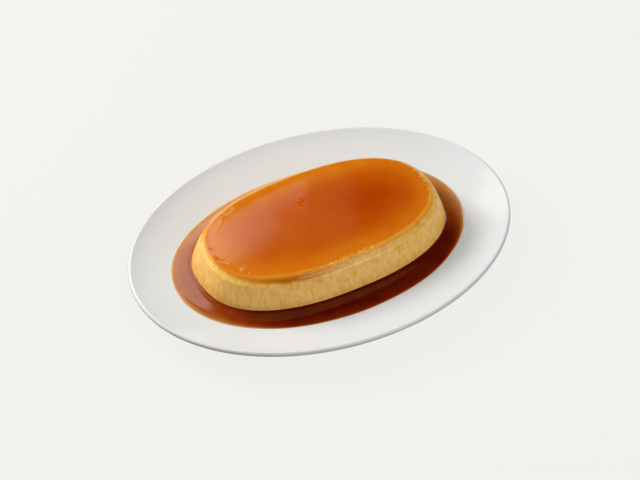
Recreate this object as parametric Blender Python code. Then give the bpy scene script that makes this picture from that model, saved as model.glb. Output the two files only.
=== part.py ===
"""Creme caramel flan turned out on its oval porcelain plate, with a pool of the caramel that ran off.

Four solids stand in one frame: the plate, the custard, the caramel layer on top of the custard and
the caramel sauce round it. +X runs along the plate's long axis, +Z is up, and the origin is the
middle of the foot ring's resting face.
"""

import math

import bmesh
import bpy

# ---- Driving dimensions, in metres -------------------------------------------------------------

SEGMENTS = 80  # points round every outline
SHARP_ANGLE = math.radians(40.0)  # edges sharper than this are shaded as edges
GAP = 0.0003  # clearance between pieces that touch

PLATE_LENGTH = 0.280
PLATE_WIDTH = 0.2078
PLATE_FLOOR_THICKNESS = 0.005
PLATE_LIP_RADIUS = 0.0017
WELL_DEPTH = 0.0106  # from the top of the wall down to the flat middle
WELL_RUN = 0.070  # from the plate's edge in to where the flat middle starts
WELL_CURVE = 3.0  # power of the bowl curve: higher keeps the middle flatter
WELL_SQUARENESS = 2.3  # the plate is a true ellipse at its edge and slightly squarer inside

FOOT_HEIGHT = 0.003
FOOT_INSET = 0.050  # from the plate's edge in to the foot ring's outer side
FOOT_WIDTH = 0.005
FOOT_TAPER = 0.0008

SAUCE_DEPTH = 0.0026  # at the plate's middle
SAUCE_HALF_LENGTH = 0.1087
SAUCE_HALF_WIDTH = 0.0718
SAUCE_SQUARENESS = 2.05
SAUCE_CENTRE = (-0.0019, 0.0002)
SAUCE_EDGE_BAND = 0.003  # width of the rounded edge of the pool
SAUCE_EDGE_SWELL = 0.6  # share of the edge's height at which it rounds over

FLAN_CENTRE = (0.0004, 0.0035)
FLAN_TURN = math.radians(1.0)
FLAN_BASE_HALVES = (0.0935, 0.0560)  # half length and half width at the sauce's surface
FLAN_TOP_HALVES = (0.0853, 0.0474)  # the same where the side would meet the top without rounding
FLAN_RISE = 0.0212  # from the sauce's surface to the top
FLAN_SQUARENESS = 2.4
FLAN_BULGE = 0.0008
FLAN_SHOULDER = 0.0045  # radius of the rounded upper edge
FLAN_HEEL = 0.0010  # rounding of the lower edge
CARAMEL_THICKNESS = 0.0016

FLOOR_Z = FOOT_HEIGHT + PLATE_FLOOR_THICKNESS
SAUCE_Z = FLOOR_Z + SAUCE_DEPTH
FLAN_TOP_Z = SAUCE_Z + FLAN_RISE
CARAMEL_SPLIT_Z = FLAN_TOP_Z - CARAMEL_THICKNESS
HEEL_Z = SAUCE_Z - SAUCE_DEPTH / 2

# ---- Materials: base colour and roughness ------------------------------------------------------

PORCELAIN = ((0.86, 0.86, 0.84), 0.12)
CUSTARD = ((0.80, 0.52, 0.20), 0.35)
CARAMEL_LAYER = ((0.50, 0.14, 0.01), 0.15)
CARAMEL_SAUCE = ((0.12, 0.015, 0.002), 0.05)


# ---- Outlines and profiles ---------------------------------------------------------------------


def signed_power(value, power):
    """A power that keeps the value's sign."""
    return math.copysign(abs(value) ** power, value)


def oval(half_length, half_width, squareness, turn=0.0, centre=(0.0, 0.0)):
    """Points of a superellipse; squareness 2 is a true ellipse, and more is nearer a rectangle."""
    points = []
    for step in range(SEGMENTS):
        angle = 2.0 * math.pi * step / SEGMENTS
        x = half_length * signed_power(math.cos(angle), 2.0 / squareness)
        y = half_width * signed_power(math.sin(angle), 2.0 / squareness)
        points.append(
            (
                centre[0] + x * math.cos(turn) - y * math.sin(turn),
                centre[1] + x * math.sin(turn) + y * math.cos(turn),
            )
        )
    return points


def plate_squareness(inset):
    """The plate's outlines pass from an ellipse at the edge to a squarer oval at the flat middle."""
    share = min(inset / WELL_RUN, 1.0)
    return 2.0 + (WELL_SQUARENESS - 2.0) * share


def plate_outline(inset):
    """The plate's outline, moved in from its edge by inset."""
    return oval(PLATE_LENGTH / 2 - inset, PLATE_WIDTH / 2 - inset, plate_squareness(inset))


def well_height(inset):
    """Height of the eating surface at a distance in from the plate's edge."""
    share = max(WELL_RUN - inset, 0.0) / WELL_RUN
    return FLOOR_Z + WELL_DEPTH * share**WELL_CURVE


def inset_at(x, y):
    """How far in from the plate's edge a point lies, found by halving the possible range."""
    low = 0.0
    high = PLATE_WIDTH / 2 - PLATE_LIP_RADIUS
    halvings = 40
    for _ in range(halvings):
        middle = (low + high) / 2
        power = plate_squareness(middle)
        reach = abs(x / (PLATE_LENGTH / 2 - middle)) ** power + abs(y / (PLATE_WIDTH / 2 - middle)) ** power
        if reach < 1.0:
            low = middle
        else:
            high = middle
    return low


def resting_height(x, y):
    """Lowest height for a piece that lies on the plate at this point."""
    return well_height(inset_at(x, y)) + GAP


def flan_halves(z):
    """Half length and half width of the flan at a height, with its bulge and rounded shoulder."""
    share = (z - SAUCE_Z) / FLAN_RISE
    bulge = FLAN_BULGE * 4.0 * share * (1.0 - share) if share > 0.0 else 0.0
    into_shoulder = z - (FLAN_TOP_Z - FLAN_SHOULDER)
    rounding = 0.0
    if into_shoulder > 0.0:
        rounding = FLAN_SHOULDER - math.sqrt(max(FLAN_SHOULDER**2 - into_shoulder**2, 0.0))
    return tuple(
        base + (top - base) * share + bulge - rounding
        for base, top in zip(FLAN_BASE_HALVES, FLAN_TOP_HALVES)
    )


def flan_outline(z, grow=0.0):
    """The flan's outline at a height, made larger by grow."""
    half_length, half_width = flan_halves(z)
    return oval(half_length + grow, half_width + grow, FLAN_SQUARENESS, turn=FLAN_TURN, centre=FLAN_CENTRE)


def sauce_outline(inset):
    """The pool's outline, moved in from its edge by inset."""
    half_length = SAUCE_HALF_LENGTH - inset
    half_width = SAUCE_HALF_WIDTH - inset
    return oval(half_length, half_width, SAUCE_SQUARENESS, centre=SAUCE_CENTRE)


def level_ring(outline, z):
    """An outline at one height."""
    return [(x, y, z) for x, y in outline]


def lying_ring(outline, lift=0.0):
    """An outline that lies on the plate."""
    return [(x, y, resting_height(x, y) + lift) for x, y in outline]


def outline_between(first, second, share):
    """An outline part of the way from one outline to another; whole rings work in the same way."""
    return [tuple(a + (b - a) * share for a, b in zip(start, end)) for start, end in zip(first, second)]


# ---- Solids ------------------------------------------------------------------------------------


def make_material(name, look):
    colour, roughness = look
    material = bpy.data.materials.new(name)
    material.use_nodes = True
    shader = material.node_tree.nodes["Principled BSDF"]
    shader.inputs["Base Color"].default_value = (*colour, 1.0)
    shader.inputs["Roughness"].default_value = roughness
    return material


def loft(name, rings, look, ring_shaped=False):
    """One closed solid through rings of equal length; a ring-shaped one joins its last to its first."""
    mesh = bmesh.new()
    loops = [[mesh.verts.new(point) for point in ring] for ring in rings]
    pairs = list(zip(loops, loops[1:]))
    if ring_shaped:
        pairs.append((loops[-1], loops[0]))
    for lower, upper in pairs:
        for step in range(SEGMENTS):
            following = (step + 1) % SEGMENTS
            mesh.faces.new((lower[step], lower[following], upper[following], upper[step]))
    if not ring_shaped:
        caps = [mesh.faces.new(loops[0]), mesh.faces.new(loops[-1])]
        bmesh.ops.poke(mesh, faces=caps)
    bmesh.ops.recalc_face_normals(mesh, faces=mesh.faces)
    data = bpy.data.meshes.new(name)
    mesh.to_mesh(data)
    mesh.free()
    data.shade_smooth()
    data.set_sharp_from_angle(angle=SHARP_ANGLE)
    data.materials.append(make_material(name, look))
    piece = bpy.data.objects.new(name, data)
    bpy.context.scene.collection.objects.link(piece)
    return piece


def make_plate():
    """The oval plate, from the recess inside its foot ring, out round the lip and in over the well."""
    lean = math.atan(WELL_DEPTH * WELL_CURVE / WELL_RUN)
    lip_centre_z = well_height(PLATE_LIP_RADIUS) - PLATE_LIP_RADIUS
    foot_inner = FOOT_INSET + FOOT_WIDTH
    rings = [
        level_ring(plate_outline(foot_inner + FOOT_TAPER), FOOT_HEIGHT),
        level_ring(plate_outline(foot_inner), 0.0),
        level_ring(plate_outline(FOOT_INSET), 0.0),
    ]
    lip_side = 2.0 * PLATE_LIP_RADIUS
    under_steps = 7
    for step in range(under_steps):
        inset = (FOOT_INSET - FOOT_TAPER) * (1.0 - step / under_steps)
        share = inset / FOOT_INSET
        thickness = lip_side + (PLATE_FLOOR_THICKNESS - lip_side) * share
        rings.append(level_ring(plate_outline(inset), well_height(inset) - thickness))
    lip_steps = 6
    for step in range(lip_steps + 1):
        angle = math.radians(270.0) - lean - math.pi * step / lip_steps
        inset = PLATE_LIP_RADIUS * (1.0 + math.cos(angle))
        rings.append(level_ring(plate_outline(inset), lip_centre_z + PLATE_LIP_RADIUS * math.sin(angle)))
    upper_steps = 10
    for step in range(1, upper_steps + 1):
        inset = PLATE_LIP_RADIUS + (WELL_RUN - PLATE_LIP_RADIUS) * step / upper_steps
        rings.append(level_ring(plate_outline(inset), well_height(inset)))
    return loft("plate", rings, PORCELAIN)


def make_custard():
    """The custard: its underside lies on the plate, its side leans in, its top is level."""
    heel = flan_outline(HEEL_Z, -FLAN_HEEL)
    side_top = CARAMEL_SPLIT_Z - GAP
    rings = []
    middle = [FLAN_CENTRE] * SEGMENTS
    shares_from_middle = (0.45, 0.65, 0.85, 1.0)
    for share in shares_from_middle:
        rings.append(lying_ring(outline_between(middle, heel, share)))
    rings.append(lying_ring(flan_outline(HEEL_Z), FLAN_HEEL))
    side_steps = 5
    for step in range(side_steps + 1):
        z = SAUCE_Z + (side_top - SAUCE_Z) * step / side_steps
        rings.append(level_ring(flan_outline(z), z))
    return loft("custard", rings, CUSTARD)


def make_caramel_top():
    """The caramel layer that soaked the top: a slab with the flan's rounded shoulder."""
    rings = [level_ring(flan_outline(CARAMEL_SPLIT_Z), CARAMEL_SPLIT_Z)]
    start = math.asin(1.0 - CARAMEL_THICKNESS / FLAN_SHOULDER)
    shoulder_steps = 4
    for step in range(1, shoulder_steps + 1):
        angle = start + (math.pi / 2 - start) * step / shoulder_steps
        z = FLAN_TOP_Z - FLAN_SHOULDER * (1.0 - math.sin(angle))
        rings.append(level_ring(flan_outline(z), z))
    return loft("caramel_top", rings, CARAMEL_LAYER)


def make_caramel_sauce():
    """The pool round the custard: level on top, rounded at its edge, lying on the plate."""
    foot_outline = flan_outline(HEEL_Z, GAP)
    pool_edge = sauce_outline(0.0)
    top_inner = level_ring(flan_outline(SAUCE_Z, GAP), SAUCE_Z)
    top_outer = level_ring(sauce_outline(SAUCE_EDGE_BAND), SAUCE_Z)
    surface_edge = level_ring(sauce_outline(GAP), SAUCE_Z)
    shoulder = outline_between(lying_ring(pool_edge), surface_edge, SAUCE_EDGE_SWELL)
    halfway = outline_between(top_inner, top_outer, 0.5)
    rings = [top_inner, halfway, top_outer, shoulder]
    under_steps = 4
    for step in range(under_steps + 1):
        rings.append(lying_ring(outline_between(pool_edge, foot_outline, step / under_steps)))
    rings.append(lying_ring(foot_outline, FLAN_HEEL))
    return loft("caramel_sauce", rings, CARAMEL_SAUCE, ring_shaped=True)


def main():
    for old in list(bpy.data.objects):
        bpy.data.objects.remove(old, do_unlink=True)
    make_plate()
    make_custard()
    make_caramel_top()
    make_caramel_sauce()


main()
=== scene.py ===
# %% [markdown]
# # A creme caramel flan on its oval plate
#
# The dessert has four things to make: a white porcelain plate, the set custard, the caramel that
# soaked its top in the mould, and the pool of thin caramel that ran off when it was turned out.
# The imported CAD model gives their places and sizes. Here each one gets the fine surface that the
# real thing has. Lengths are in metres; `MM` turns millimetres into metres.

import math
import random

import bpy
import numpy as np
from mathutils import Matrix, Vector, noise


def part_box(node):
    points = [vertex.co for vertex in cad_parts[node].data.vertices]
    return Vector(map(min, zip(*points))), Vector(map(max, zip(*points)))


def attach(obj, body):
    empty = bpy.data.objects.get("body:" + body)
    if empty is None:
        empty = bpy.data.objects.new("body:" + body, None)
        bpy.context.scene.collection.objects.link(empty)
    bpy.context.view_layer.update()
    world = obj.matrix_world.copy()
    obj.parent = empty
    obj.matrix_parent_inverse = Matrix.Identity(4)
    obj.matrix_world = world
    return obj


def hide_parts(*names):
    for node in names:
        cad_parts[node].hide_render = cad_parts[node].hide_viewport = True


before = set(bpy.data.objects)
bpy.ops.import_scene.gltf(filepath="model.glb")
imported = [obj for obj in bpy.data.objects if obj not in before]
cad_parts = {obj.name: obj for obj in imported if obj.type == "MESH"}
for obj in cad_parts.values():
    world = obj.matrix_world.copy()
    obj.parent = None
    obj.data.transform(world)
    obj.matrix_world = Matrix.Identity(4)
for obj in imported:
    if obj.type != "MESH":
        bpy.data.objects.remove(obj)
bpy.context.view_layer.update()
MM = 0.001

# %% [markdown]
# ## Sizes read from the frame
#
# The boxes of the four CAD nodes give the plate's length and width, the level of the pool, and the
# place and height of the flan. Only the character of the curves is added here: how square each
# oval is, and how the well of the plate rises.

# %% Sizes
plate_low, plate_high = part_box("plate")
custard_low, custard_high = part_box("custard")
layer_low, layer_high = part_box("caramel_top")
pool_low, pool_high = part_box("caramel_sauce")

PLATE_HALF_LENGTH = plate_high.x
PLATE_HALF_WIDTH = plate_high.y
SAUCE_Z = pool_high.z
FLAN_TOP_Z = layer_high.z
LAYER_SPLIT_Z = layer_low.z
FLAN_X = (custard_low.x + custard_high.x) / 2
FLAN_Y = (custard_low.y + custard_high.y) / 2
FLAN_RISE = FLAN_TOP_Z - SAUCE_Z
print("flan stands", round(FLAN_RISE / MM, 1), "mm above the pool")

# %% [markdown]
# ## Ovals
#
# Nothing on this dish is a plain ellipse. A superellipse has one number more, its squareness: 2 is
# an ellipse and larger numbers fill the corners. Every ring of every piece is one of these, so the
# helper works on whole arrays of points at once.

# %% Oval rings
def signed_power(values, power):
    return np.sign(values) * np.abs(values) ** power


def oval(half_length, half_width, squareness, count, turn=0.0, centre=(0.0, 0.0)):
    """Points of one closed oval, as an array of x and y."""
    angles = np.arange(count) * 2.0 * math.pi / count
    x = half_length * signed_power(np.cos(angles), 2.0 / squareness)
    y = half_width * signed_power(np.sin(angles), 2.0 / squareness)
    turned_x = centre[0] + x * math.cos(turn) - y * math.sin(turn)
    turned_y = centre[1] + x * math.sin(turn) + y * math.cos(turn)
    return np.stack([turned_x, turned_y], axis=1)


def smooth_step(low, high, values):
    """0 below low, 1 above high, with a soft passage between them."""
    share = np.clip((values - low) / (high - low), 0.0, 1.0)
    return share * share * (3.0 - 2.0 * share)


def rough_field(points, size, seed):
    """Soft random heights from -1 to 1, for features of about this size."""
    shift = Vector((seed * 13.7, seed * 5.3, seed * 9.1))
    return np.array([noise.noise(Vector(point) / size + shift) for point in points])


# %% [markdown]
# ## Turning rings into a piece
#
# A stack of rings with the same number of points becomes a skin of quads. A solid such as the
# plate is closed with a cap at each end of the stack. A ring-shaped solid such as the pool is
# closed by a join of the last ring to the first.

# %% Skin over a stack of rings
def skin(name, rings, ring_shaped=False):
    """A closed mesh object over rings of x, y, z points, listed so that its faces look out."""
    count = len(rings[0])
    points = np.concatenate(rings)
    step = np.arange(count)
    following = (step + 1) % count
    faces = []
    for lower in range(len(rings) - 1 + int(ring_shaped)):
        upper = (lower + 1) % len(rings)
        a, b = lower * count, upper * count
        quads = np.stack([a + step, a + following, b + following, b + step], axis=1)
        faces.extend(quads.tolist())
    if not ring_shaped:
        for at_end in (0, len(rings) - 1):
            middle = len(points)
            points = np.vstack([points, rings[at_end].mean(axis=0)])
            base = at_end * count
            for here, there in zip(step.tolist(), following.tolist()):
                pair = (base + there, base + here) if at_end == 0 else (base + here, base + there)
                faces.append([*pair, middle])
    mesh = bpy.data.meshes.new(name)
    mesh.from_pydata(points.tolist(), [], faces)
    mesh.shade_smooth()
    mesh.update()
    piece = bpy.data.objects.new(name, mesh)
    bpy.context.scene.collection.objects.link(piece)
    print(name, "has", len(mesh.polygons), "faces")
    return piece


def give_attribute(piece, name, values):
    """Stores one number for each point, which the piece's finish reads by name."""
    attribute = piece.data.attributes.new(name, "FLOAT", "POINT")
    attribute.data.foreach_set("value", np.asarray(values, dtype=np.float32))


def place(piece, node):
    """The piece rides on the model and stands for its CAD node, which is hidden."""
    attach(piece, "root")
    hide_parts(node)


# %% [markdown]
# ## The plate's shape
#
# A coupe plate has no flat rim: it is one bowl curve from the flat middle to a rolled lip. The
# curve is a power of the distance in from the edge, so it is flat under the flan and steepest at
# the lip. The foot ring lifts it off the table.

# %% Plate profile
WELL_RUN = 70 * MM
WELL_CURVE = 3.0
WELL_SQUARENESS = 2.3
LIP_RADIUS = 1.7 * MM
FOOT_HEIGHT = 3 * MM
PLATE_FLOOR = 5 * MM
FOOT_INSET = 50 * MM
FOOT_WIDTH = 5 * MM
FLOOR_Z = FOOT_HEIGHT + PLATE_FLOOR
WELL_DEPTH = (plate_high.z - FLOOR_Z) / (1.0 - LIP_RADIUS / WELL_RUN) ** WELL_CURVE


def well_height(inset):
    """Height of the glaze at a distance in from the plate's edge."""
    share = np.clip(WELL_RUN - np.asarray(inset), 0.0, None) / WELL_RUN
    return FLOOR_Z + WELL_DEPTH * share**WELL_CURVE


def plate_outline(inset, count):
    """The plate's outline moved in; it is a plain ellipse at the edge and squarer in the well."""
    squareness = 2.0 + (WELL_SQUARENESS - 2.0) * min(inset / WELL_RUN, 1.0)
    return oval(PLATE_HALF_LENGTH - inset, PLATE_HALF_WIDTH - inset, squareness, count)


def inset_at(points):
    """How far in from the plate's edge each x, y point lies, by halving the possible range."""
    low = np.zeros(len(points))
    high = np.full(len(points), PLATE_HALF_WIDTH - 1 * MM)
    for _ in range(32):
        middle = (low + high) / 2
        power = 2.0 + (WELL_SQUARENESS - 2.0) * np.minimum(middle / WELL_RUN, 1.0)
        reach = np.abs(points[:, 0] / (PLATE_HALF_LENGTH - middle)) ** power
        reach += np.abs(points[:, 1] / (PLATE_HALF_WIDTH - middle)) ** power
        inside = reach < 1.0
        low = np.where(inside, middle, low)
        high = np.where(inside, high, middle)
    return low


def plate_height(points):
    """Height of the glaze under each x, y point."""
    return well_height(inset_at(points))


def at_height(outline, z):
    """An outline with one height, or a height for each point."""
    return np.column_stack([outline, np.broadcast_to(z, len(outline))])


# %% Plate mesh
PLATE_POINTS = 240


def make_plate():
    """Rings from under the plate over its foot, out along the underside, round the lip and in."""
    lean = math.atan(WELL_DEPTH * WELL_CURVE / WELL_RUN)
    lip_z = plate_high.z - LIP_RADIUS
    rings = []
    foot = [
        (FOOT_INSET + FOOT_WIDTH + 3.0 * MM, FOOT_HEIGHT + 0.0 * MM),
        (FOOT_INSET + FOOT_WIDTH + 1.4 * MM, FOOT_HEIGHT - 0.3 * MM),
        (FOOT_INSET + FOOT_WIDTH + 0.5 * MM, FOOT_HEIGHT - 1.2 * MM),
        (FOOT_INSET + FOOT_WIDTH, 0.5 * MM),
        (FOOT_INSET + FOOT_WIDTH - 0.5 * MM, 0.0),
        (FOOT_INSET + 0.5 * MM, 0.0),
        (FOOT_INSET, 0.5 * MM),
        (FOOT_INSET - 0.3 * MM, FOOT_HEIGHT - 1.2 * MM),
    ]
    for inset, z in foot:
        rings.append(at_height(plate_outline(inset, PLATE_POINTS), z))
    for inset in np.linspace(FOOT_INSET - 1.2 * MM, 2.6 * MM, 18):
        thickness = 2 * LIP_RADIUS + (PLATE_FLOOR - 2 * LIP_RADIUS) * inset / FOOT_INSET
        rings.append(at_height(plate_outline(inset, PLATE_POINTS), well_height(inset) - thickness))
    for angle in np.linspace(1.5 * math.pi - lean, 0.5 * math.pi - lean, 15):
        inset = LIP_RADIUS * (1.0 + math.cos(angle))
        z = lip_z + LIP_RADIUS * math.sin(angle)
        rings.append(at_height(plate_outline(inset, PLATE_POINTS), z))
    for inset in np.linspace(4 * MM, WELL_RUN, 34):
        rings.append(at_height(plate_outline(inset, PLATE_POINTS), well_height(inset)))
    return skin("porcelain_plate", rings)


plate = make_plate()
place(plate, "plate")

# %% [markdown]
# ## The flan's shape
#
# The mould was a long oval tin. The side leans in towards the top and bulges a little under the
# custard's weight. The caramel set against the tin's rounded bottom edge, so the top keeps a
# rolled rim, which runs on smoothly into the side.
#
# One grid of points holds the whole outer surface, so that custard and caramel share their seam
# exactly. Rows of the grid are rings, from the foot up the side, over the rim and in to the middle
# of the top. Each row also remembers how far in from the rim it lies, and how far down.

# %% Flan sizes
FLAN_SQUARENESS = 2.4
FLAN_TURN = math.radians(1.0)
BASE_HALF_LENGTH = 93.5 * MM
BASE_HALF_WIDTH = 56.0 * MM
TOP_HALF_LENGTH = 85.3 * MM
TOP_HALF_WIDTH = 47.4 * MM
SIDE_BULGE = 0.8 * MM
FLAN_POINTS = 1000


def side_halves(z):
    """Half length and half width of the side at a height."""
    share = (z - SAUCE_Z) / FLAN_RISE
    bulge = SIDE_BULGE * 4.0 * share * (1.0 - share) if share > 0.0 else 0.0
    half_length = BASE_HALF_LENGTH + (TOP_HALF_LENGTH - BASE_HALF_LENGTH) * share + bulge
    half_width = BASE_HALF_WIDTH + (TOP_HALF_WIDTH - BASE_HALF_WIDTH) * share + bulge
    return half_length, half_width


def flan_ring(z, inset=0.0, halves=None):
    """One ring of the flan at a height, as wide as the side there unless halves are given."""
    half_length, half_width = halves or side_halves(z)
    outline = oval(half_length - inset, half_width - inset, FLAN_SQUARENESS, FLAN_POINTS,
                   turn=FLAN_TURN, centre=(FLAN_X, FLAN_Y))
    return at_height(outline, z)


# %% [markdown]
# ## Rolled rim
#
# The rim is one arc, and a shoulder curve carries it down into the side without a crease. A curve
# with a set direction at both ends does this: it leaves the side along the side's own lean and
# arrives at the arc along the arc's. Inside the rim the top first droops a little, then lies flat.

# %% Rolled rim
RIM_ROLL = 2.2 * MM
RIM_INSET = 3.0 * MM
RIM_DROOP = 0.20 * MM
DROOP_START = 9.5 * MM
RIM_END_ANGLE = math.radians(65.0)
RIM_ARRIVAL = (0.36, -0.93)
SHOULDER_DROP = 4.6 * MM


def rim_profile():
    """Inset and drop from the top's sharp corner, from the side up to the start of the flat top."""
    roll = []
    droop_slope = math.atan(2 * RIM_DROOP / (DROOP_START - RIM_INSET))
    for angle in np.linspace(RIM_END_ANGLE, droop_slope, 16):
        inset = RIM_INSET - RIM_ROLL * math.sin(angle)
        roll.append((inset, RIM_DROOP + RIM_ROLL * (1 - math.cos(angle))))
    side_lean = (BASE_HALF_WIDTH - TOP_HALF_WIDTH) / FLAN_RISE
    share = 1.0 - SHOULDER_DROP / FLAN_RISE
    bulge_here = SIDE_BULGE * 4.0 * share * (1.0 - share)
    lean_here = side_lean + SIDE_BULGE * 4.0 * (2.0 * share - 1.0) / FLAN_RISE
    start = np.array([-side_lean * SHOULDER_DROP - bulge_here, SHOULDER_DROP])
    end = np.array(roll[0])
    leave = np.array([lean_here, -1.0]) * SHOULDER_DROP * 0.6
    arrive = np.array(RIM_ARRIVAL) * SHOULDER_DROP * 0.7
    shoulder = []
    for t in np.linspace(0.0, 1.0, 12, endpoint=False):
        point = (2 * t**3 - 3 * t**2 + 1) * start + (t**3 - 2 * t**2 + t) * leave
        point = point + (3 * t**2 - 2 * t**3) * end + (t**3 - t**2) * arrive
        shoulder.append(tuple(point))
    return shoulder + roll


FOOT_LIFT = 0.4 * MM
ROUNDED_TOP_INSET = 16 * MM


def flan_rows():
    """The grid of rings, with each ring's inset from the rim and its drop below the top."""
    rows, insets, drops = [], [], []
    foot_z = custard_low.z + FOOT_LIFT
    for z in np.linspace(foot_z, FLAN_TOP_Z - SHOULDER_DROP, 46, endpoint=False):
        rows.append(flan_ring(z))
        insets.append(0.0)
        drops.append(FLAN_TOP_Z - z)
    top_halves = (TOP_HALF_LENGTH, TOP_HALF_WIDTH)
    for inset, drop in rim_profile():
        rows.append(flan_ring(FLAN_TOP_Z - drop, inset, top_halves))
        insets.append(inset)
        drops.append(drop)
    for inset in np.linspace(RIM_INSET + 0.5 * MM, ROUNDED_TOP_INSET, 26):
        drop = RIM_DROOP * (max(DROOP_START - inset, 0.0) / (DROOP_START - RIM_INSET)) ** 2
        rows.append(flan_ring(FLAN_TOP_Z - drop, inset, top_halves))
        insets.append(inset)
        drops.append(drop)
    middle = np.array([FLAN_X, FLAN_Y, FLAN_TOP_Z])
    edge = rows[-1]
    for share in np.linspace(0.965, 0.02, 42):
        rows.append(middle + (edge - middle) * share)
        insets.append(ROUNDED_TOP_INSET + (1.0 - share) * (TOP_HALF_WIDTH - ROUNDED_TOP_INSET))
        drops.append(0.0)
    return np.array(rows), np.array(insets), np.array(drops)


plain_grid, row_inset, row_drop = flan_rows()
print("flan grid:", plain_grid.shape)

# %% [markdown]
# ## Small unevenness
#
# A turned-out custard is smooth but never machined: the top sags a little and carries a few marks
# from bubbles in the mould, the rim is bumpy where it stuck, and the side has fine upright drag
# lines and pin-sized pits. Each is added to the grid along the surface's own direction, so that
# the final mesh holds them.

# %% Positions on the flan
flan_middle = np.array([FLAN_X, FLAN_Y])


def flan_share(points):
    """Where points lie on the top, as shares of its half length and half width."""
    return (points[:, :2] - flan_middle) / [TOP_HALF_LENGTH, TOP_HALF_WIDTH]


def patch(points, centre, radii):
    """1 at a place on the top given in shares, fading to 0 over the two radii, also in shares."""
    gap = (flan_share(points) - centre) / radii
    return np.exp(-(gap**2).sum(axis=1))


# %% Marks on the top
MARKS = [
    # Centre in shares, radius, height. The first two make the dimple near the middle, the last is
    # a faint swelling, and the others are bubbles and pits by the rim.
    ((-0.060, 0.350), 2.0 * MM, -0.16 * MM),
    ((-0.054, 0.430), 1.4 * MM, 0.16 * MM),
    ((-0.709, 0.639), 1.3 * MM, 0.75 * MM),
    ((-0.918, -0.161), 0.9 * MM, -0.12 * MM),
    ((-0.890, -0.260), 1.0 * MM, 0.35 * MM),
    ((-0.822, -0.460), 1.3 * MM, 0.80 * MM),
    ((-0.803, -0.540), 0.7 * MM, -0.20 * MM),
    ((0.259, 0.093), 1.0 * MM, 0.06 * MM),
]


def top_relief(points):
    """Heights to add on the top: long soft waves and the marks."""
    level = points * [1, 1, 0]
    relief = 0.045 * MM * rough_field(level, 34 * MM, 3)
    relief += 0.010 * MM * rough_field(level, 11 * MM, 5)
    for centre, radius, height in MARKS:
        relief += height * patch(points, centre, (radius / TOP_HALF_LENGTH, radius / TOP_HALF_WIDTH))
    return relief


def stuck(points):
    """Where the rim stuck to the mould and tore a little: in front and at the right end."""
    return patch(points, (0.00, -0.95), (0.30, 0.22)) + patch(points, (0.96, 0.22), (0.14, 0.60))


RIM_WAVE = 0.08 * MM
TORN_BUMPS = 0.55 * MM


def rim_relief(points):
    """Heights to add on the rim: a faint wave all round and torn bumps where it stuck."""
    bumps = rough_field(points, 2.4 * MM, 7) + 0.7 * rough_field(points, 1.1 * MM, 8)
    return RIM_WAVE * rough_field(points, 5 * MM, 6) + TORN_BUMPS * bumps * stuck(points)


print("marks on the top:", len(MARKS))

# %% [markdown]
# ## Drag lines and pits on the side
#
# The tin's wall dragged fine upright lines in the custard as it slid out, and left open the small
# bubbles that had been against the metal. The lines are noise squeezed round the flan and drawn
# out upright. The pits are single points of the grid pushed in, most of them in the lower half. At
# the front left the custard drew in a little just under the rim.

# %% Drag lines and pits on the side
PIT_COUNT = 420
PIT_DEPTH = 0.22 * MM
DRAWN_IN = 0.50 * MM


def stained_and_shaded_corner(points):
    """The front left stretch, where caramel ran over the rim and the custard drew in under it; the
    darker band below the rim there is partly painted shade.
    """
    return patch(points, (-0.58, -0.86), (0.40, 0.36))


def hump(values, middle, width):
    """1 at the middle value, fading to 0 within about two widths on both sides."""
    return np.exp(-(((values - middle) / width) ** 2))


def side_relief(points, drop, rows, count):
    """Outward shifts on the side: broad unevenness, upright drag lines, grain and pits."""
    around = np.arctan2((points[:, 1] - FLAN_Y) * 1.6, points[:, 0] - FLAN_X)
    drag = np.column_stack([np.cos(around), np.sin(around), points[:, 2] * 2.0])
    relief = 0.22 * MM * rough_field(points, 30 * MM, 11)
    relief += 0.05 * MM * rough_field(drag, 0.030, 12)
    relief += 0.06 * MM * rough_field(drag, 0.012, 14)
    relief += 0.030 * MM * rough_field(points, 1.3 * MM, 13)
    relief -= DRAWN_IN * stained_and_shaded_corner(points) * hump(drop, 2.9 * MM, 1.3 * MM)
    relief = relief.reshape(rows, count)
    dice = random.Random(41)
    for _ in range(PIT_COUNT):
        column = dice.randrange(count)
        row = int(dice.triangular(14, 50, 20))
        depth = PIT_DEPTH * dice.uniform(0.4, 1.0)
        relief[row, column] -= depth
        relief[row + 1, column] -= depth * dice.uniform(0.4, 0.9)
        relief[row, (column + 1) % count] -= depth * 0.4
    return relief.ravel()


def uneven(grid):
    """The grid with all the small unevenness: up and down on the top, in and out on the side."""
    rows, count, _ = grid.shape
    points = grid.reshape(-1, 3)
    inset = np.repeat(row_inset, count)
    drop = np.repeat(row_drop, count)
    on_top = smooth_step(1.2 * MM, 4.0 * MM, inset)
    on_rim = smooth_step(6.0 * MM, 1.0 * MM, np.abs(inset - 2.0 * MM) + drop * 0.6)
    on_side = smooth_step(1.5 * MM, 4.5 * MM, drop)
    outward = (points[:, :2] - flan_middle) / [BASE_HALF_LENGTH**2, BASE_HALF_WIDTH**2]
    outward /= np.linalg.norm(outward, axis=1, keepdims=True)
    shaped = points.copy()
    rim = rim_relief(points) * on_rim
    push = side_relief(points, drop, rows, count) * on_side
    push += 0.5 * rim * smooth_step(0.0, 1.5 * MM, drop)
    shaped[:, :2] += outward * push[:, None]
    shaped[:, 2] += top_relief(points) * on_top + rim * smooth_step(1.2 * MM, 0.4 * MM, drop)
    return shaped.reshape(rows, count, 3)


flan_grid = uneven(plain_grid)
print("highest point of the top, mm:", round(flan_grid[:, :, 2].max() / MM, 2))
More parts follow.
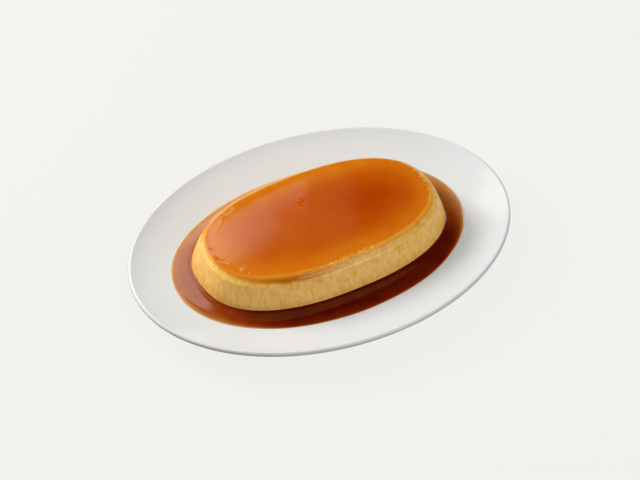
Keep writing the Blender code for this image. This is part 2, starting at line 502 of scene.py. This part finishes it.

# %% [markdown]
# ## Depth of the caramel, with painted highlights and shade
#
# The caramel soaked in most deeply in the middle of the top and hardly at all over the rim. One
# number for each point says how much of it light has to cross: 0 is clean custard, 1 is a full
# burnt-orange layer. The same number also carries painted highlights and painted shade. The finish
# turns that number into colour, so the passage from orange to yellow falls where the caramel thins
# and needs no painted edge.
#
# The top comes first: pale next to the rim, which is partly thinner caramel and partly a painted
# highlight along the rim, darker inwards, darkest right of the middle, and thin over every bubble
# and torn spot, partly as painted highlights on them. Then follows the shoulder below the rim. In
# front it is almost clean and at the left end cleaner still. Caramel ran over it at the back. At the
# front left it is darker under the rim, partly caramel that ran over it and partly painted shade.

# %% Caramel depth on the flan
RIM_LAYER_AND_HIGHLIGHT = 0.27
INNER_LAYER = 0.45
MIDDLE_LAYER = 0.38
DARK_PATCH = 0.30
SHOULDER_LAYER = 0.09
RUN_AT_BACK = 0.40
RUN_AND_SHADE_AT_CORNER = 0.80
DEEPEST_LAYER = 1.6


def depth_on_top(points, inset, wander, fine):
    """Depth of the caramel on the top, from its distance in from the rim and two rough fields; the
    paler rim band and paler bubbles and torn spots are partly painted highlights.
    """
    share = flan_share(points)
    front = smooth_step(0.35, -0.75, share[:, 1] - 0.10 * share[:, 0])
    # Pale band next to the rim, wider in front: partly thinner caramel, partly a painted highlight
    # along the rim.
    band = (2.3 + 2.0 * front + 0.8 * wander + 0.5 * fine) * MM
    depth = RIM_LAYER_AND_HIGHLIGHT + INNER_LAYER * smooth_step(0.0, 1.0, (inset - 1.6 * MM) / band)
    away_from_left = smooth_step(-0.97, -0.60, share[:, 0])
    depth += MIDDLE_LAYER * smooth_step(6 * MM, 26 * MM, inset) * away_from_left
    depth += DARK_PATCH * patch(points, (0.50, -0.02), (0.36, 0.46))
    # Thinner caramel over each raised mark, mostly the bubbles, which also paints a highlight on
    # them.
    for centre, radius, height in MARKS:
        thinner_and_highlit = 0.6 * max(height, 0.0) / MM
        depth -= thinner_and_highlit * patch(points, centre, (radius / TOP_HALF_LENGTH, radius / TOP_HALF_WIDTH))
    depth += 0.06 * rough_field(points * [1, 1, 0], 16 * MM, 23)
    # Lighter where the rim tore: partly thinner caramel, partly a painted highlight on the torn rim.
    torn_and_highlit = smooth_step(-0.1, 0.5, fine + 0.5 * rough_field(points, 1.1 * MM, 8))
    return depth - 0.26 * torn_and_highlit * stuck(points) * smooth_step(7 * MM, 2 * MM, inset)


def caramel_depth_and_light(points, inset, drop):
    """How much caramel lies over each point of the flan, with painted highlights and painted shade
    in the same number.
    """
    share = flan_share(points)
    wander = rough_field(points * [1, 1, 0.3], 9 * MM, 21)
    fine = rough_field(points * [1, 1, 0.3], 2.2 * MM, 22)
    corner = stained_and_shaded_corner(points)
    at_left = smooth_step(-0.45, -0.90, share[:, 0])
    at_back = smooth_step(0.30, 0.65, share[:, 1])
    depth = depth_on_top(points, inset, wander, fine)
    depth += np.maximum(0.28 * corner, 0.30 * at_left) * smooth_step(5 * MM, 1 * MM, inset)
    shoulder = SHOULDER_LAYER - 0.06 * at_left + RUN_AT_BACK * at_back
    # Darker band below the rim at the front left: partly caramel that ran over, partly painted shade
    # under the rim.
    shoulder += RUN_AND_SHADE_AT_CORNER * corner * hump(drop, 2.6 * MM, 2.0 * MM)
    rim_end = (2.1 - 0.9 * at_left) * MM
    over_rim = smooth_step(0.7 * MM, rim_end, drop + 0.25 * MM * (wander + fine))
    depth = depth * (1.0 - over_rim) + shoulder * over_rim
    sooner = (0.8 * wander - 0.9 * corner + 0.9 * at_left - 3.0 * at_back) * MM
    clean_below = smooth_step(1.4 * MM, 4.6 * MM, drop + sooner)
    return np.clip(depth * (1.0 - clean_below), 0.0, DEEPEST_LAYER)


point_inset = np.repeat(row_inset, FLAN_POINTS)
point_drop = np.repeat(row_drop, FLAN_POINTS)
depth_grid = caramel_depth_and_light(flan_grid.reshape(-1, 3), point_inset, point_drop)
depth_grid = depth_grid.reshape(len(row_inset), FLAN_POINTS)
print("caramel depth from", round(depth_grid.min(), 2), "to", round(depth_grid.max(), 2))

# %% [markdown]
# ## Custard and caramel layer as two pieces
#
# The grid is cut at the height where the CAD model parts custard from caramel. Both pieces are
# closed with hidden flat caps. Their normals are worked out on the uncut grid and stored, so that
# light runs over the seam without a line.

# %% Cut the grid into two pieces
def grid_normals(grid):
    """Smooth outward normals of the whole grid of rings."""
    around = np.roll(grid, -1, axis=1) - np.roll(grid, 1, axis=1)
    along = np.gradient(grid, axis=0)
    normals = np.cross(around, along)
    return normals / np.linalg.norm(normals, axis=2, keepdims=True)


def keep_normals(piece, normals):
    """Stores the grid's normals on the piece; the middle points of its caps keep their own."""
    stored = [tuple(normal) for normal in normals.reshape(-1, 3)]
    own = [tuple(vertex.normal) for vertex in piece.data.vertices[len(stored):]]
    piece.data.normals_split_custom_set_from_vertices(stored + own)


def make_flan():
    """Custard from the rows below the CAD's split, caramel layer from the rows above it."""
    heights = plain_grid[:, :, 2].mean(axis=1)
    seam = int(np.argmax(heights > LAYER_SPLIT_Z))
    normals = grid_normals(flan_grid)
    custard_piece = skin("set_custard", list(flan_grid[: seam + 1]))
    layer_piece = skin("caramel_layer", list(flan_grid[seam:]))
    give_attribute(custard_piece, "caramel_depth_and_light", [*depth_grid[: seam + 1].ravel(), 0.0, 0.0])
    layer_depth = [*depth_grid[seam:].ravel(), 1.0, depth_grid[-1].mean()]
    give_attribute(layer_piece, "caramel_depth_and_light", layer_depth)
    keep_normals(custard_piece, normals[: seam + 1])
    keep_normals(layer_piece, normals[seam:])
    return custard_piece, layer_piece


custard, caramel_layer = make_flan()
place(custard, "custard")
place(caramel_layer, "caramel_top")

# %% [markdown]
# ## The pool
#
# Thin caramel lies level, but not at its edges. It climbs just under a millimetre up the custard,
# where it can catch a thread of light, and it ends on the glaze in a rounded bead. The upper skin
# follows those two curves, and the lower skin lies on the plate.
#
# How dark it looks is set by the place as well as the depth. In front it is dark almost to its
# edge: painted shadow of the flan, which falls there. At the left end it is lighter and a little
# redder, partly painted light from the key. At the right end and behind the flan its colour follows
# its depth, lighter still behind.

# %% Pool mesh
POOL_SQUARENESS = 2.05
POOL_X = (pool_low.x + pool_high.x) / 2
POOL_Y = (pool_low.y + pool_high.y) / 2
POOL_HALF_LENGTH = (pool_high.x - pool_low.x) / 2
POOL_HALF_WIDTH = (pool_high.y - pool_low.y) / 2
MENISCUS_HEIGHT = 0.8 * MM
MENISCUS_REACH = 1.0 * MM
BEAD_REACH = 0.9 * MM
EDGE_RIPPLE = 0.35 * MM
RIGHT_REACH = 0.8 * MM
FILM = 0.05 * MM
TUCKED_UNDER = 0.012
POOL_ROWS = 44


def pool_edge():
    """The pool's outline, with a slow ripple and a little more reach at the right end."""
    middle = (POOL_X, POOL_Y)
    outline = oval(POOL_HALF_LENGTH, POOL_HALF_WIDTH, POOL_SQUARENESS, FLAN_POINTS, centre=middle)
    outward = outline - middle
    outward /= np.linalg.norm(outward, axis=1, keepdims=True)
    ripple = rough_field(at_height(outline, 0.0), 24 * MM, 31) * EDGE_RIPPLE
    ripple += RIGHT_REACH * smooth_step(0.80, 1.0, outward[:, 0])
    return outline + outward * ripple[:, None]


# How dark the front of the pool is, which paints the flan's shadow on it.
FRONT_SHADE_STRENGTH = 1.95


def strength(outline, depth):
    """How much caramel the light crosses, from the place on the dish and the depth in mm, with a
    painted shadow of the flan in front and painted light at the left end.
    """
    x, y = (outline / np.linalg.norm(outline, axis=1, keepdims=True)).T
    filled = 1.0 - np.exp(-depth / 0.6)
    # Lighter at the left end, partly painted light from the key.
    lit_left_end = (1.28 - 0.84 * smooth_step(-0.05, 1.0, y)) * (1.0 - np.exp(-depth / 1.1))
    right = (0.42 - 0.18 * smooth_step(0.0, 0.5, y)) * depth
    ends = right + (lit_left_end - right) * smooth_step(0.3, -0.3, x)
    front_starts = 0.02 + 0.40 * np.clip(1.0 - depth / 2.2, 0.0, 1.0)
    front_starts += 0.08 * smooth_step(0.0, -0.8, x)
    # The front share, where the painted shadow of the flan lies.
    in_flan_shadow = smooth_step(0.0, 0.45, -y - front_starts)
    return ends + (FRONT_SHADE_STRENGTH * filled - ends) * in_flan_shadow


def make_pool():
    """Lower rings on the glaze from the custard out to the edge, then upper rings back in."""
    outer = pool_edge()
    inner = flan_ring(SAUCE_Z)[:, :2]
    inner = inner + (flan_middle - inner) * TUCKED_UNDER
    upper, lower, depths = [], [], []
    across = np.linalg.norm(outer - inner, axis=1)
    for share in 0.5 - 0.5 * np.cos(np.linspace(0.0, math.pi, POOL_ROWS)):
        outline = inner + (outer - inner) * share
        bottom = plate_height(outline) + FILM
        from_custard = across * share
        from_edge = across * (1.0 - share)
        climb = MENISCUS_HEIGHT * np.exp(-np.maximum(from_custard - 0.7 * MM, 0.0) / MENISCUS_REACH)
        bead = 1.0 - np.exp(-from_edge / BEAD_REACH)
        surface = bottom + (SAUCE_Z - bottom) * bead + climb
        upper.append(at_height(outline, np.maximum(surface, bottom + 0.02 * MM)))
        lower.append(at_height(outline, bottom))
        depths.append(strength(outline, (upper[-1][:, 2] - bottom - climb) / MM))
    piece = skin("caramel_pool", lower + upper[::-1], ring_shaped=True)
    both = np.concatenate(depths + depths[::-1])
    give_attribute(piece, "pool_depth_and_shading", both)
    # The largest value, painted shadow in front included.
    print("deepest caramel, mm:", round(float(both.max()), 2))
    return piece


pool = make_pool()
place(pool, "caramel_sauce")

# %% [markdown]
# ## Finishes
#
# Each finish is a node network on the Principled shader. A small helper adds a node, sets its
# values and links its inputs in one line, which keeps the networks readable.

# %% Node helper
class Finish:
    """One material under construction."""

    def __init__(self, name):
        self.material = bpy.data.materials.new(name)
        self.material.use_nodes = True
        self.tree = self.material.node_tree
        self.shader = self.tree.nodes["Principled BSDF"]

    def add(self, kind, inputs=None, **settings):
        """A new node; its inputs are numbers or the outputs of other nodes."""
        node = self.tree.nodes.new("ShaderNode" + kind)
        for key, value in settings.items():
            setattr(node, key, value)
        for key, value in (inputs or {}).items():
            self.feed(node.inputs[key], value)
        return node

    def feed(self, socket, value):
        """Links another node's output to a socket, or sets the socket to a number."""
        if isinstance(value, bpy.types.NodeSocket):
            self.tree.links.new(value, socket)
        else:
            socket.default_value = value

    def set(self, values):
        """Feeds the inputs of the main shader, by name."""
        for key, value in values.items():
            self.feed(self.shader.inputs[key], value)

    def ramp(self, factor, stops):
        """Colours along a factor; stops are (place, (red, green, blue))."""
        node = self.add("ValToRGB", {"Fac": factor})
        band = node.color_ramp
        while len(band.elements) < len(stops):
            band.elements.new(0.5)
        for element, (where, colour) in zip(band.elements, stops):
            element.position = where
            element.color = (*colour, 1.0)
        return node.outputs["Color"]

    def spread(self, factor, low, high, to_low, to_high):
        """Moves a number from one range to another, held at both ends."""
        inputs = {"Value": factor, "From Min": low, "From Max": high}
        inputs.update({"To Min": to_low, "To Max": to_high})
        return self.add("MapRange", inputs).outputs["Result"]

    def speckle(self, scale, detail=2.0, stretch=None, roughness=0.5):
        """Noise in the object's own space; scale is features per metre, stretch squeezes an axis."""
        where = self.add("TexCoord").outputs["Object"]
        if stretch:
            stretched = self.add("Mapping", {"Vector": where, "Scale": stretch})
            where = stretched.outputs["Vector"]
        inputs = {"Vector": where, "Scale": scale, "Detail": detail, "Roughness": roughness}
        return self.add("TexNoise", inputs).outputs["Fac"]

    def math(self, operation, first, second, clamp=False):
        """One sum of two numbers, at will held between 0 and 1."""
        node = self.add("Math", operation=operation, use_clamp=clamp)
        self.feed(node.inputs[0], first)
        self.feed(node.inputs[1], second)
        return node.outputs["Value"]

    def bump(self, height, distance, strength):
        """A normal tilted by a height from 0 to 1 that stands for the given distance."""
        inputs = {"Height": height, "Distance": distance, "Strength": strength}
        return self.add("Bump", inputs).outputs["Normal"]


# %% [markdown]
# ## How caramel colours what is under it
#
# Caramel is a stain: it lets red through and stops blue almost at once. Each extra millimetre
# multiplies what is left, so colour over depth is a row of powers. The stops of the colour ramp
# are computed from a clear colour and what one unit of depth lets through.

# %% Stain colours
def stain_stops(clear, lets_through, deepest, count=9, spread=1.6):
    """Ramp stops from no caramel to the deepest; stops lie closer together where it is thin."""
    stops = []
    for step in range(count):
        share = (step / (count - 1)) ** spread
        colour = [base * pass_on ** (share * deepest) for base, pass_on in zip(clear, lets_through)]
        stops.append((share, colour))
    return stops


CUSTARD_COLOUR = (0.98, 0.60, 0.145)
LAYER_LETS_THROUGH = (0.56, 0.17, 0.009)
deepest_stop = stain_stops(CUSTARD_COLOUR, LAYER_LETS_THROUGH, DEEPEST_LAYER)[-1]
print("darkest caramel layer:", [round(part, 4) for part in deepest_stop[1]])

# %% [markdown]
# ## Custard and caramel layer finish
#
# Set custard is soft and moist, with a satin skin, upright streaks and tiny darker pores. The
# caramel layer is the same custard, stained and wet, and mirrors sharply. Light that wanders inside
# custard could be traced as well, but it leaks out where two pieces meet and draws a dark line
# there, so its warm glow is part of the colour instead.
#
# Both pieces get the same network. The caramel depth decides everywhere how much stain there is,
# how smooth the surface is and how much of the moist skin shows, so the seam cannot be seen.

# %% Custard and caramel layer finish
def flan_finish(name):
    """Four sizes of noise over the caramel depth; bare is 1 on clean custard, 0 under caramel."""
    finish = Finish(name)
    depth = finish.add("Attribute", attribute_name="caramel_depth_and_light").outputs["Fac"]
    clouds = finish.speckle(90.0, detail=4.0, roughness=0.6)
    fine = finish.speckle(700.0, detail=2.0)
    streaks = finish.speckle(380.0, detail=4.0, stretch=(1.0, 1.0, 0.13), roughness=0.6)
    pores = finish.speckle(1300.0, detail=1.0)
    bare = finish.spread(depth, 0.14, 0.48, 1.0, 0.0)
    wet = finish.math("SUBTRACT", 1.0, bare)
    drift = finish.math("MULTIPLY", finish.math("SUBTRACT", clouds, 0.5), 0.14)
    fine_drift = finish.math("MULTIPLY", finish.math("SUBTRACT", fine, 0.5), 0.06)
    drift = finish.math("ADD", drift, fine_drift)
    share = finish.math("ADD", finish.math("DIVIDE", depth, DEEPEST_LAYER), drift)
    lines = finish.math("MULTIPLY", finish.spread(streaks, 0.30, 0.58, 0.12, 0.0), bare)
    dots = finish.math("MULTIPLY", finish.spread(pores, 0.28, 0.38, 0.22, 0.0), bare)
    share = finish.math("ADD", share, finish.math("ADD", lines, dots), clamp=True)
    colour = finish.ramp(share, stain_stops(CUSTARD_COLOUR, LAYER_LETS_THROUGH, DEEPEST_LAYER))
    grain = finish.math("ADD", pores, finish.math("MULTIPLY", streaks, 0.8))
    grain = finish.math("MULTIPLY", grain, bare)
    smoother = finish.math("MULTIPLY", wet, -0.28)
    finish.set({
        "Base Color": colour,
        "Roughness": finish.math("ADD", smoother, finish.spread(fine, 0.3, 0.7, 0.33, 0.37)),
        "IOR": 1.44,
        "Coat Weight": finish.spread(depth, 0.02, 0.12, 0.5, 0.0),
        "Coat Roughness": 0.26,
        "Normal": finish.bump(grain, 0.14 * MM, 0.6),
    })
    return finish.material


custard.data.materials.append(flan_finish("custard"))
caramel_layer.data.materials.append(flan_finish("caramel_layer"))

# %% [markdown]
# ## Pool finish
#
# Over white porcelain the pool runs from straw through amber to nearly black red within two
# millimetres of depth. The surface is a liquid's, so it is almost perfectly smooth: it mirrors the
# window and the side of the custard.

# %% Pool finish
# Brighter than the bare glaze: at the bead's thin edge this paints a bright line of focused light.
LIT_GLAZE_UNDER_POOL = (0.90, 0.80, 0.62)
POOL_LETS_THROUGH = (0.33, 0.066, 0.008)
DEEPEST_POOL = 2.3


def pool_finish():
    """Colour from the pool's depth and its painted shadow and light, which a slow swirl makes a
    little uneven.
    """
    finish = Finish("caramel_sauce")
    depth = finish.add("Attribute", attribute_name="pool_depth_and_shading").outputs["Fac"]
    swirl = finish.speckle(70.0, detail=2.0)
    share = finish.math("DIVIDE", depth, DEEPEST_POOL)
    share = finish.math("MULTIPLY", share, finish.spread(swirl, 0.3, 0.7, 0.9, 1.1), clamp=True)
    stops = stain_stops(LIT_GLAZE_UNDER_POOL, POOL_LETS_THROUGH, DEEPEST_POOL, spread=1.5)
    colour = finish.ramp(share, stops)
    finish.set({
        "Base Color": colour,
        "Roughness": finish.spread(swirl, 0.3, 0.7, 0.035, 0.05),
        "IOR": 1.47,
    })
    return finish.material


pool.data.materials.append(pool_finish())

# %% [markdown]
# ## Porcelain finish
#
# The glaze is a thin glass over a white body. Body and glaze are fired into one, so one glossy
# white surface is enough, with a very faint orange-peel wave and no visible grain.

# %% Porcelain finish
def porcelain_finish():
    """Nearly even white; the gloss and the wave come from two sizes of noise."""
    finish = Finish("porcelain")
    clouds = finish.speckle(14.0, detail=2.0)
    colour = finish.ramp(clouds, [(0.3, (0.765, 0.775, 0.765)), (0.7, (0.785, 0.795, 0.785))])
    peel = finish.speckle(260.0, detail=1.0)
    finish.set({
        "Base Color": colour,
        "Roughness": finish.spread(clouds, 0.3, 0.7, 0.10, 0.14),
        "IOR": 1.5,
        "Normal": finish.bump(peel, 0.02 * MM, 0.3),
    })
    return finish.material


plate.data.materials.append(porcelain_finish())
finished = [plate, custard, caramel_layer, pool]
print("finishes:", [piece.data.materials[0].name for piece in finished])

# %% [markdown]
# ## Camera
#
# The camera looks down on the table at about 45 degrees, as a person standing at it would, with a
# long lens so that the far edge of the plate is hardly smaller than the near one.

# %% Camera
CAMERA_AZIMUTH = math.radians(-28.1)
CAMERA_ELEVATION = math.radians(44.6)
CAMERA_DISTANCE = 1.4
CAMERA_LENS = 112.9


def from_camera_side(right, away, up):
    """A direction given as the person at the camera sees it, in the frame's own axes."""
    east = Vector((math.cos(CAMERA_AZIMUTH), math.sin(CAMERA_AZIMUTH), 0.0))
    north = Vector((-math.sin(CAMERA_AZIMUTH), math.cos(CAMERA_AZIMUTH), 0.0))
    return east * right + north * away + Vector((0.0, 0.0, up))


def make_camera():
    """A long lens that looks at the middle of the dish, at the level of the sauce."""
    target = Vector((0.0, 0.0, SAUCE_Z))
    back = from_camera_side(0.0, -math.cos(CAMERA_ELEVATION), math.sin(CAMERA_ELEVATION))
    camera = bpy.data.cameras.new("camera")
    camera.lens = CAMERA_LENS
    camera.sensor_width = 36.0
    camera.shift_x = -0.0028
    camera.shift_y = 0.0019
    holder = bpy.data.objects.new("camera", camera)
    bpy.context.scene.collection.objects.link(holder)
    holder.location = target + back * CAMERA_DISTANCE
    holder.rotation_mode = "QUATERNION"
    holder.rotation_quaternion = back.to_track_quat("Z", "Y")
    bpy.context.scene.camera = holder


make_camera()
print("the camera looks down at", round(math.degrees(CAMERA_ELEVATION), 1), "degrees")

# %% [markdown]
# ## Table
#
# The table is a plain pale sheet that runs into an equally pale backdrop, so the dish stands alone.
# White porcelain and wet caramel show whatever is round them, and a sheet as bright as it looks
# would flood them with light from below. So the camera sees the pale tone, and the dish is lit by a
# duller one, which keeps the underside of the plate's lip dark against the pale table.

# %% Table
BACKDROP = (0.896, 0.880, 0.847)
DULLER_TABLE = (0.13, 0.12, 0.105)
TABLE_RADIUS = 12.0
SHEET_SHARE = 0.06


def stage_finish(name, seen, duller):
    """A surface that the camera sees as one pale tone, and that lights the dish as a duller one."""
    material = bpy.data.materials.new(name)
    material.use_nodes = True
    tree = material.node_tree
    tree.nodes.clear()
    out = tree.nodes.new("ShaderNodeOutputMaterial")
    pick = tree.nodes.new("ShaderNodeMixShader")
    blend = tree.nodes.new("ShaderNodeMixShader")
    path = tree.nodes.new("ShaderNodeLightPath")
    glow = tree.nodes.new("ShaderNodeEmission")
    sheet = tree.nodes.new("ShaderNodeBsdfDiffuse")
    dull = tree.nodes.new("ShaderNodeBsdfDiffuse")
    glow.inputs["Color"].default_value = (*seen, 1.0)
    sheet.inputs["Color"].default_value = (*seen, 1.0)
    dull.inputs["Color"].default_value = (*duller, 1.0)
    blend.inputs[0].default_value = SHEET_SHARE
    tree.links.new(glow.outputs[0], blend.inputs[1])
    tree.links.new(sheet.outputs[0], blend.inputs[2])
    tree.links.new(path.outputs["Is Camera Ray"], pick.inputs[0])
    tree.links.new(dull.outputs[0], pick.inputs[1])
    tree.links.new(blend.outputs[0], pick.inputs[2])
    tree.links.new(pick.outputs[0], out.inputs[0])
    return material


def make_table():
    """A large disc a hair below the foot ring, so that the two never share a plane."""
    bpy.ops.mesh.primitive_circle_add(
        vertices=64, radius=TABLE_RADIUS, fill_type="NGON", location=(0, 0, -0.2 * MM)
    )
    table = bpy.context.object
    table.name = "table"
    table.data.materials.append(stage_finish("table", BACKDROP, DULLER_TABLE))


make_table()

# %% [markdown]
# ## Room light
#
# Even light from all round stands for the room's walls and ceiling. It is split in three: the camera
# sees the backdrop's tone, matt surfaces get the even light, and a mirroring surface sees a nearly
# dark room, which keeps the caramel deep in colour wherever no lamp or window shows in it.

# %% Backdrop and room
ROOM_LIGHT = 0.41
ROOM_COLOUR = (0.97, 0.985, 1.0)
MIRRORED_ROOM = 0.02
MIRRORED_ROOM_COLOUR = (1.0, 0.98, 0.95)


def make_room():
    """The world's light, chosen by what asks for it: camera, mirror or matt surface."""
    world = bpy.data.worlds.new("room")
    bpy.context.scene.world = world
    world.use_nodes = True
    tree = world.node_tree
    tree.nodes.clear()
    out = tree.nodes.new("ShaderNodeOutputWorld")
    path = tree.nodes.new("ShaderNodeLightPath")
    backdrop = tree.nodes.new("ShaderNodeBackground")
    ambient = tree.nodes.new("ShaderNodeBackground")
    mirrored = tree.nodes.new("ShaderNodeBackground")
    first = tree.nodes.new("ShaderNodeMixShader")
    second = tree.nodes.new("ShaderNodeMixShader")
    backdrop.inputs["Color"].default_value = (*BACKDROP, 1.0)
    ambient.inputs["Color"].default_value = (*ROOM_COLOUR, 1.0)
    ambient.inputs["Strength"].default_value = ROOM_LIGHT
    mirrored.inputs["Color"].default_value = (*MIRRORED_ROOM_COLOUR, 1.0)
    mirrored.inputs["Strength"].default_value = MIRRORED_ROOM
    tree.links.new(path.outputs["Is Glossy Ray"], first.inputs[0])
    tree.links.new(ambient.outputs[0], first.inputs[1])
    tree.links.new(mirrored.outputs[0], first.inputs[2])
    tree.links.new(path.outputs["Is Camera Ray"], second.inputs[0])
    tree.links.new(first.outputs[0], second.inputs[1])
    tree.links.new(backdrop.outputs[0], second.inputs[2])
    tree.links.new(second.outputs[0], out.inputs[0])


make_room()

# %% [markdown]
# ## The window in the caramel
#
# A window stands behind the dish to the left, and the wet top mirrors it as a soft rosy patch. It is
# a lit sheet, square to the line along which a diner's view bounces off the top. Its brightness is
# stored point by point, so soft borders and a slanting curtain line need no image. Glass bars leave
# a tall pane at the right and a wide one beside it. Beyond a dark post the next pane lies further
# left, with a faint wall to the right. A second sheet, plain and large, carries the bright side on
# to the left, where the left end of the pool mirrors it.

# %% Window
WINDOW_DISTANCE = 0.9
WINDOW_GLOW = 2.9
WINDOW_COLOUR = (1.0, 0.94, 0.86)
TALL_PANE_GLOW = 0.47
WIDE_PANE_GLOW = 0.55
WALL_GLOW = 0.07
SIDE_WINDOW_GLOW = 0.7
PANE_X = -0.060


def window_glow(x, y):
    """Brightness at places x to the right and y up on the sheet, in metres from its middle."""
    tall = smooth_step(-0.012, -0.022, x) * smooth_step(-0.008, -0.014, y)
    wide = np.clip(WIDE_PANE_GLOW - 8.0 * (x - PANE_X), 0.0, 1.0)
    wide = np.maximum(wide * smooth_step(-0.036, PANE_X, x), TALL_PANE_GLOW * tall)
    above_sill = y + 0.026 + 0.667 * (x - PANE_X)
    below_curtain = 0.028 - 0.47 * (x - PANE_X) - y
    pane = wide * smooth_step(-0.009, 0.009, above_sill) * smooth_step(-0.012, 0.012, below_curtain)
    next_pane = smooth_step(-0.124, -0.132, x) * smooth_step(-0.21, -0.20, x)
    next_pane = next_pane * smooth_step(-0.055, -0.045, y) * smooth_step(0.085, 0.075, y)
    wall = WALL_GLOW * smooth_step(0.045, 0.030, x) * (x > -0.05)
    wall = wall * smooth_step(-0.060, -0.045, y) * smooth_step(0.05, 0.02, y)
    return np.maximum(np.maximum(pane, next_pane), wall)


def lit_panel(name, columns, lines, glow):
    """A lit sheet square to the line along which a diner's view bounces off the flan's top."""
    ahead = from_camera_side(0.0, math.cos(CAMERA_ELEVATION), math.sin(CAMERA_ELEVATION))
    right = from_camera_side(1.0, 0.0, 0.0)
    up = right.cross(ahead)
    middle = Vector((0.0, 0.0, SAUCE_Z)) + ahead * WINDOW_DISTANCE
    x, y = [grid.ravel() for grid in np.meshgrid(columns, lines)]
    points = np.array(middle) + np.outer(x, np.array(right)) + np.outer(y, np.array(up))
    faces = []
    for line in range(len(lines) - 1):
        for column in range(len(columns) - 1):
            corner = line * len(columns) + column
            faces.append((corner, corner + 1, corner + 1 + len(columns), corner + len(columns)))
    mesh = bpy.data.meshes.new(name)
    mesh.from_pydata(points.tolist(), [], faces)
    panel = bpy.data.objects.new(name, mesh)
    bpy.context.scene.collection.objects.link(panel)
    give_attribute(panel, "glow", glow(x, y))
    mesh.materials.append(window_light())
    panel.visible_camera = False
    panel.visible_shadow = False


def window_light():
    """Light as strong as the panel's own attribute says."""
    material = bpy.data.materials.new("window")
    material.use_nodes = True
    tree = material.node_tree
    tree.nodes.clear()
    light = tree.nodes.new("ShaderNodeEmission")
    light.inputs["Color"].default_value = (*WINDOW_COLOUR, 1.0)
    level = tree.nodes.new("ShaderNodeAttribute")
    level.attribute_name = "glow"
    strength = tree.nodes.new("ShaderNodeMath")
    strength.operation = "MULTIPLY"
    strength.inputs[1].default_value = WINDOW_GLOW
    out = tree.nodes.new("ShaderNodeOutputMaterial")
    tree.links.new(level.outputs["Fac"], strength.inputs[0])
    tree.links.new(strength.outputs[0], light.inputs["Strength"])
    tree.links.new(light.outputs[0], out.inputs[0])
    return material


def even_glow(x, y):
    return np.full(len(x), SIDE_WINDOW_GLOW)


lit_panel("window", np.linspace(-0.22, 0.06, 141), np.linspace(-0.07, 0.09, 81), window_glow)
lit_panel("side_window", [-0.95, -0.22], [-0.16, 0.22], even_glow)
print("the lit sheets hang", WINDOW_DISTANCE, "m from the dish")

# %% [markdown]
# ## Soft lights
#
# The key light stands where the window is, behind the dish to the left, and casts the soft shadows.
# It is hidden from mirroring surfaces, because the lit sheets already give them their window. A
# large fill comes from the front right and lightens the custard's front. The glint, at the key's
# side, and the small spark, behind to the right, are there for the highlights on wet edges.

# %% Soft lights
LAMP_COLOUR = (0.985, 0.99, 1.0)


def soft_light(name, direction, distance, size, power, mirrored=True):
    """A round lamp in a direction from the dish, facing it."""
    lamp = bpy.data.lights.new(name, "AREA")
    lamp.shape = "DISK"
    lamp.size = size
    lamp.energy = power
    lamp.color = LAMP_COLOUR
    holder = bpy.data.objects.new(name, lamp)
    bpy.context.scene.collection.objects.link(holder)
    holder.location = direction.normalized() * distance
    holder.rotation_mode = "QUATERNION"
    holder.rotation_quaternion = direction.to_track_quat("Z", "Y")
    holder.visible_glossy = mirrored
    holder.visible_camera = False


KEY_POWER = 10.6
FILL_POWER = 6.2
GLINT_POWER = 2.0
SPARK_POWER = 0.5

soft_light("key", from_camera_side(-0.86, 0.46, 0.56), 1.2, 0.45, KEY_POWER, mirrored=False)
soft_light("fill", from_camera_side(0.8, -0.62, 0.75), 1.5, 1.0, FILL_POWER)
soft_light("glint", from_camera_side(-0.86, 0.46, 0.62), 1.2, 0.6, GLINT_POWER)
soft_light("spark", from_camera_side(0.60, 0.70, 0.45), 1.2, 0.25, SPARK_POWER)

bpy.context.scene.view_settings.view_transform = "Standard"
